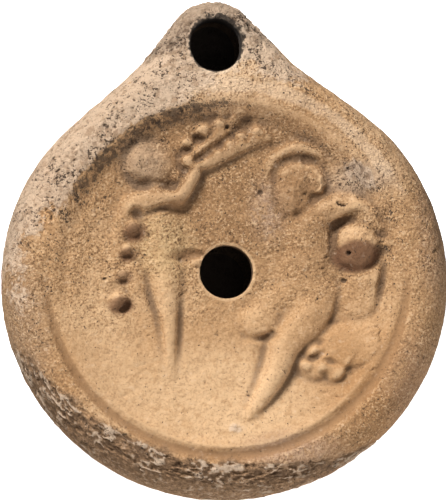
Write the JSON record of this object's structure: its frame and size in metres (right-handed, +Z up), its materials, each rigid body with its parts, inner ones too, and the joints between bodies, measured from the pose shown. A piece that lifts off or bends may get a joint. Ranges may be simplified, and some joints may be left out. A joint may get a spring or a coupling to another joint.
{
  "type": "roman oil lamp",
  "caption": "Hollow fired-clay oil lamp with a round body, a short round nozzle, a filling hole, a wick hole and figures in low relief on its sunken disc.",
  "frame": {"origin": "centre of the flat round underside of the base", "axes": "+Z up, +Y towards the nozzle, +X to the right as the figures are seen from above"},
  "size_m": [0.084, 0.094, 0.0262],
  "materials": {
    "fired_clay": "unglazed, worn and dusty, with pale lime crust in patches"
  },
  "bodies": {
    "root": {"lamp_body": "fired_clay"}
  },
  "joints": []
}
